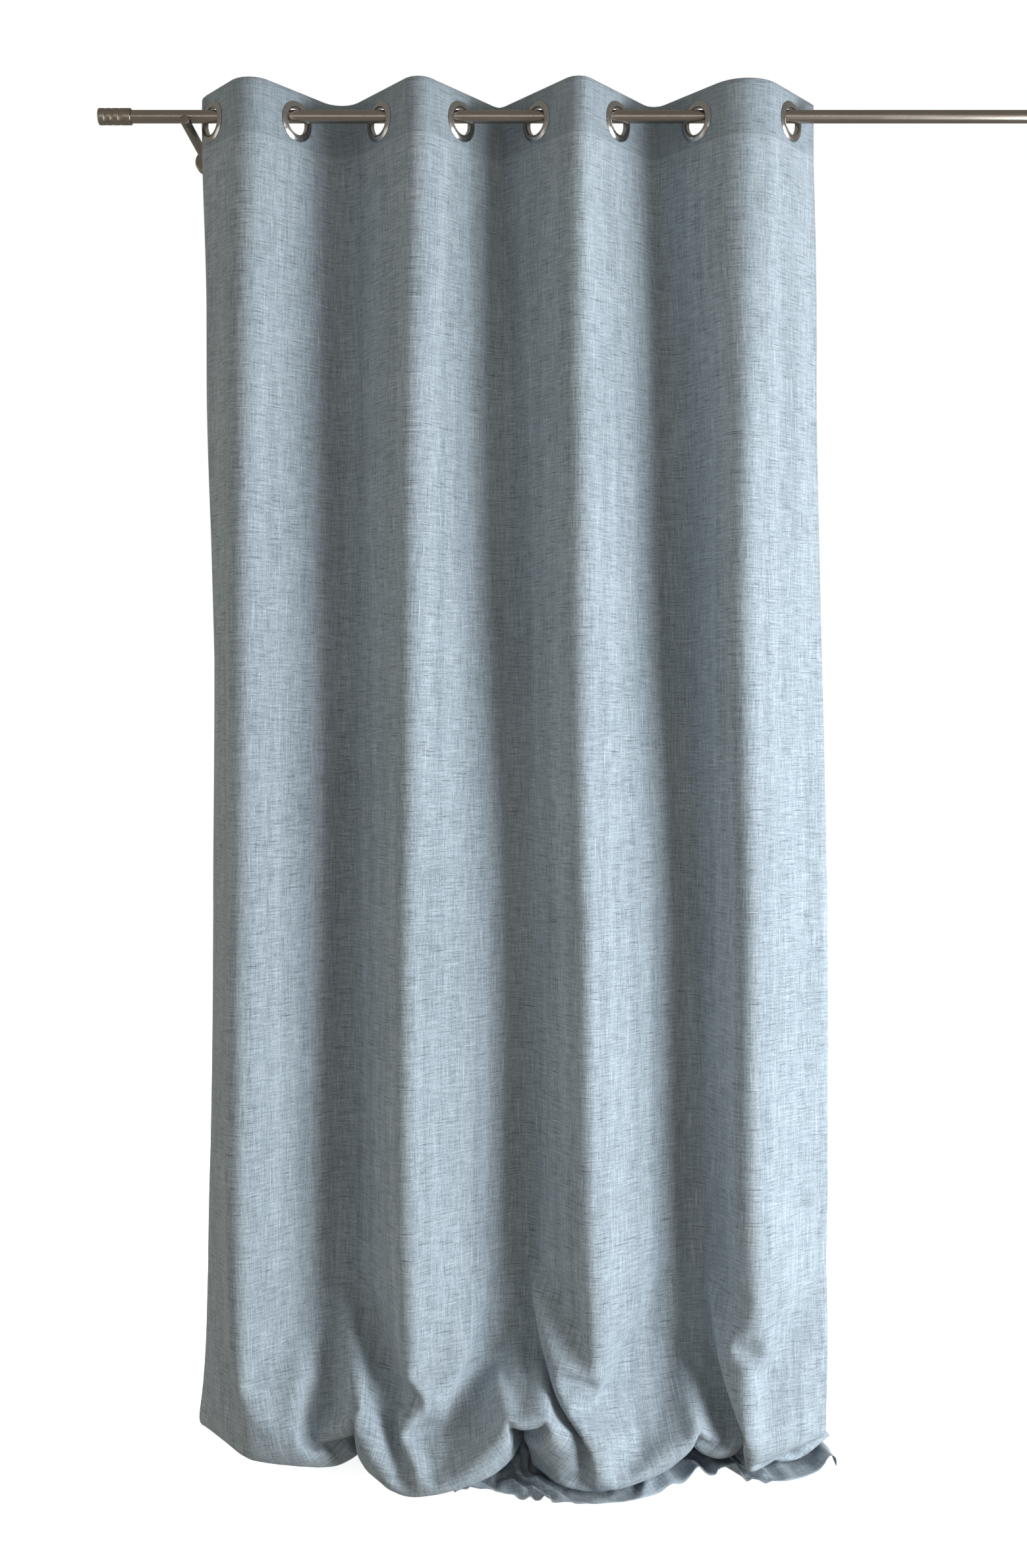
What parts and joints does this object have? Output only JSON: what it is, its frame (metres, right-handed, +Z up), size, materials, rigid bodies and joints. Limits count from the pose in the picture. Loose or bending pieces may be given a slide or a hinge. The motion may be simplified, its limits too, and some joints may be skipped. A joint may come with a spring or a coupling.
{
  "type": "eyelet curtain panel on a rod",
  "caption": "Floor-length fabric curtain panel with metal eyelets in a stiffened header, gathered in even folds on a metal rod with end caps and wall brackets.",
  "frame": {"origin": "centre of the left bracket's wall face", "axes": "+X along the rod to the right as seen from the room, +Y into the wall, +Z up"},
  "size_m": [1.7206, 0.284, 2.149],
  "materials": {
    "curtain_cloth": "slubby linen-look plain weave, matt, slightly see-through",
    "header_tape": "stiff white interlining tape, hidden in the header",
    "eyelet_metal": "satin nickel-plated pressed rings",
    "rod_metal": "satin nickel tube",
    "finial_metal": "satin nickel, turned grooves",
    "bracket_metal": "satin nickel casting",
    "screw_steel": "zinc-plated small parts"
  },
  "bodies": {
    "rod_set": {"rod_tube": "rod_metal", "finial_left": "finial_metal", "finial_grub_screw_left": "screw_steel", "bracket_arm_left": "bracket_metal", "bracket_rose_left": "bracket_metal", "wall_plate_left": "screw_steel", "arm_nut_left": "screw_steel", "wall_screw_left_upper": "screw_steel", "wall_screw_left_lower": "screw_steel", "rod_lock_screw_left": "screw_steel", "rose_grub_screw_left": "screw_steel", "finial_right": "finial_metal", "finial_grub_screw_right": "screw_steel", "bracket_arm_right": "bracket_metal", "bracket_rose_right": "bracket_metal", "wall_plate_right": "screw_steel", "arm_nut_right": "screw_steel", "wall_screw_right_upper": "screw_steel", "wall_screw_right_lower": "screw_steel", "rod_lock_screw_right": "screw_steel", "rose_grub_screw_right": "screw_steel"},
    "fold_1": {"panel_flank_1": "curtain_cloth", "header_tape_1": "header_tape", "eyelet_1_front": "eyelet_metal", "eyelet_1_back": "eyelet_metal"},
    "fold_2": {"panel_flank_2": "curtain_cloth", "header_tape_2": "header_tape", "eyelet_2_front": "eyelet_metal", "eyelet_2_back": "eyelet_metal"},
    "fold_3": {"panel_flank_3": "curtain_cloth", "header_tape_3": "header_tape", "eyelet_3_front": "eyelet_metal", "eyelet_3_back": "eyelet_metal"},
    "fold_4": {"panel_flank_4": "curtain_cloth", "header_tape_4": "header_tape", "eyelet_4_front": "eyelet_metal", "eyelet_4_back": "eyelet_metal"},
    "fold_5": {"panel_flank_5": "curtain_cloth", "header_tape_5": "header_tape", "eyelet_5_front": "eyelet_metal", "eyelet_5_back": "eyelet_metal"},
    "fold_6": {"panel_flank_6": "curtain_cloth", "header_tape_6": "header_tape", "eyelet_6_front": "eyelet_metal", "eyelet_6_back": "eyelet_metal"},
    "fold_7": {"panel_flank_7": "curtain_cloth", "header_tape_7": "header_tape", "eyelet_7_front": "eyelet_metal", "eyelet_7_back": "eyelet_metal"},
    "fold_8": {"panel_flank_8": "curtain_cloth", "header_tape_8": "header_tape", "eyelet_8_front": "eyelet_metal", "eyelet_8_back": "eyelet_metal"}
  },
  "joints": [
    {"name": "draw", "type": "hinge", "parent": "rod_set", "child": "fold_1", "pos_m": [0.041, -0.18, 0.0025], "axis": [0, 0, -1], "range_deg": [0, 24]},
    {"name": "fold_1_to_2", "type": "hinge", "parent": "fold_1", "child": "fold_2", "pos_m": [0.106, -0.2632, 0.0025], "axis": [0, 0, 1], "range_deg": [0, 48]},
    {"name": "fold_2_to_3", "type": "hinge", "parent": "fold_2", "child": "fold_3", "pos_m": [0.236, -0.0968, 0.0025], "axis": [0, 0, -1], "range_deg": [0, 48]},
    {"name": "fold_3_to_4", "type": "hinge", "parent": "fold_3", "child": "fold_4", "pos_m": [0.364, -0.26064, 0.0025], "axis": [0, 0, 1], "range_deg": [0, 48]},
    {"name": "fold_4_to_5", "type": "hinge", "parent": "fold_4", "child": "fold_5", "pos_m": [0.4865, -0.10384, 0.0025], "axis": [0, 0, -1], "range_deg": [0, 48]},
    {"name": "fold_5_to_6", "type": "hinge", "parent": "fold_5", "child": "fold_6", "pos_m": [0.6085, -0.26, 0.0025], "axis": [0, 0, 1], "range_deg": [0, 48]},
    {"name": "fold_6_to_7", "type": "hinge", "parent": "fold_6", "child": "fold_7", "pos_m": [0.733, -0.10064, 0.0025], "axis": [0, 0, -1], "range_deg": [0, 48]},
    {"name": "fold_7_to_8", "type": "hinge", "parent": "fold_7", "child": "fold_8", "pos_m": [0.8675, -0.2728, 0.0025], "axis": [0, 0, 1], "range_deg": [0, 48]}
  ],
  "couplings": [
    {"joint": "fold_1_to_2", "follows": "draw", "ratio": 2},
    {"joint": "fold_2_to_3", "follows": "draw", "ratio": 2},
    {"joint": "fold_3_to_4", "follows": "draw", "ratio": 2},
    {"joint": "fold_4_to_5", "follows": "draw", "ratio": 2},
    {"joint": "fold_5_to_6", "follows": "draw", "ratio": 2},
    {"joint": "fold_6_to_7", "follows": "draw", "ratio": 2},
    {"joint": "fold_7_to_8", "follows": "draw", "ratio": 2}
  ]
}
